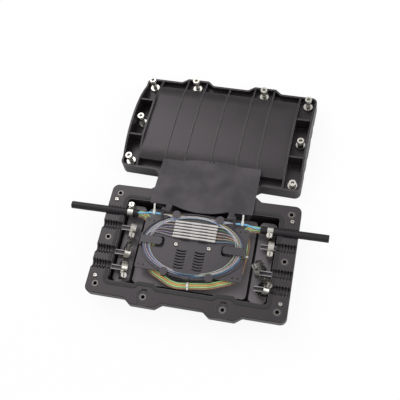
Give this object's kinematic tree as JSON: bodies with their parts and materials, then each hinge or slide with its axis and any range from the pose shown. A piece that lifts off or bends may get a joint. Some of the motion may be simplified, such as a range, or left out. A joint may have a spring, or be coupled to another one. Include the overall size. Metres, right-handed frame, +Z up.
{
  "type": "horizontal fibre splice closure",
  "caption": "Black moulded fibre splice closure, open: lower shell with splice tray, cables and hose clamps; ribbed upper shell behind it.",
  "frame": {"origin": "centre of the lower shell's underside, on the ground", "axes": "+X along the lower shell from its left to its right end, +Y back towards the upper shell, +Z up"},
  "size_m": [0.3685, 0.3822, 0.0542],
  "materials": {
    "shell_plastic": "moulded, fine satin",
    "bridge_plastic": "moulded, satin",
    "tray_plastic": "moulded, satin",
    "holder_plastic": "moulded, satin",
    "lid_plastic": "fine matt grain",
    "sleeve_plastic": "shrunk, glossy",
    "seal_rubber": "matt",
    "insert_brass": "turned",
    "bolt_steel": "bright",
    "band_steel": "rolled, bright",
    "screw_steel": "turned, bright",
    "cable_jacket": "extruded, satin",
    "tube_blue": "extruded",
    "tube_orange": "extruded",
    "tube_green": "extruded",
    "tube_brown": "extruded",
    "fibre_coating": "clear coated",
    "tie_plastic": "moulded"
  },
  "bodies": {
    "root": {"lower_shell": "shell_plastic", "upper_shell": "shell_plastic", "anchor_bridge_left": "bridge_plastic", "anchor_bridge_right": "bridge_plastic", "equipment_plate": "bridge_plastic", "splice_tray": "tray_plastic", "splice_holder": "holder_plastic", "splice_sleeves": "sleeve_plastic", "seal_gasket": "seal_rubber", "bolt_seal_rings": "seal_rubber", "threaded_inserts": "insert_brass", "corner_screws": "bolt_steel", "tray_screws": "bolt_steel", "cover_bolts": "bolt_steel", "bolt_washers": "bolt_steel", "clamp_left_1": "band_steel", "clamp_left_2": "band_steel", "clamp_left_3": "band_steel", "clamp_left_4": "band_steel", "clamp_right_1": "band_steel", "clamp_right_2": "band_steel", "clamp_right_3": "band_steel", "clamp_right_4": "band_steel", "cable_left": "cable_jacket", "cable_right": "cable_jacket", "tube_blue_left": "tube_blue", "tube_blue_right": "tube_blue", "tube_orange": "tube_orange", "tube_green_inner": "tube_green", "tube_green_outer": "tube_green", "tube_brown": "tube_brown", "fibre_bundle": "fibre_coating", "cable_ties": "tie_plastic"},
    "tray_lid": {"tray_lid": "lid_plastic"},
    "clamp_screw_left_1": {"clamp_screw_left_1": "screw_steel"},
    "clamp_screw_left_2": {"clamp_screw_left_2": "screw_steel"},
    "clamp_screw_left_3": {"clamp_screw_left_3": "screw_steel"},
    "clamp_screw_left_4": {"clamp_screw_left_4": "screw_steel"},
    "clamp_screw_right_1": {"clamp_screw_right_1": "screw_steel"},
    "clamp_screw_right_2": {"clamp_screw_right_2": "screw_steel"},
    "clamp_screw_right_3": {"clamp_screw_right_3": "screw_steel"},
    "clamp_screw_right_4": {"clamp_screw_right_4": "screw_steel"}
  },
  "joints": [
    {"name": "lid_hinge", "type": "hinge", "parent": "root", "child": "tray_lid", "pos_m": [-0.0015, 0.0475, 0.0485], "axis": [1, 0, 0], "range_deg": [0, 188.17]},
    {"name": "worm_left_1", "type": "hinge", "parent": "root", "child": "clamp_screw_left_1", "pos_m": [-0.1005, 0.0501, 0.03696], "axis": [0, 0, 1], "continuous": true},
    {"name": "worm_left_2", "type": "hinge", "parent": "root", "child": "clamp_screw_left_2", "pos_m": [-0.093, 0.0055, 0.03501], "axis": [0.3746, 0, 0.9272], "continuous": true},
    {"name": "worm_left_3", "type": "hinge", "parent": "root", "child": "clamp_screw_left_3", "pos_m": [-0.08885, -0.00966, 0.04277], "axis": [0.332, -0.7071, 0.6243], "continuous": true},
    {"name": "worm_left_4", "type": "hinge", "parent": "root", "child": "clamp_screw_left_4", "pos_m": [-0.09046, -0.05318, 0.03445], "axis": [0.4695, 0, 0.8829], "continuous": true},
    {"name": "worm_right_1", "type": "hinge", "parent": "root", "child": "clamp_screw_right_1", "pos_m": [0.0995, 0.0315, 0.03696], "axis": [0, 0, 1], "continuous": true},
    {"name": "worm_right_2", "type": "hinge", "parent": "root", "child": "clamp_screw_right_2", "pos_m": [0.103, 0.006, 0.03451], "axis": [0.0872, 0, 0.9962], "continuous": true},
    {"name": "worm_right_3", "type": "hinge", "parent": "root", "child": "clamp_screw_right_3", "pos_m": [0.09019, -0.00966, 0.04226], "axis": [-0.3851, -0.7071, 0.593], "continuous": true},
    {"name": "worm_right_4", "type": "hinge", "parent": "root", "child": "clamp_screw_right_4", "pos_m": [0.10631, -0.03246, 0.04226], "axis": [0.3851, -0.7071, 0.593], "continuous": true}
  ]
}
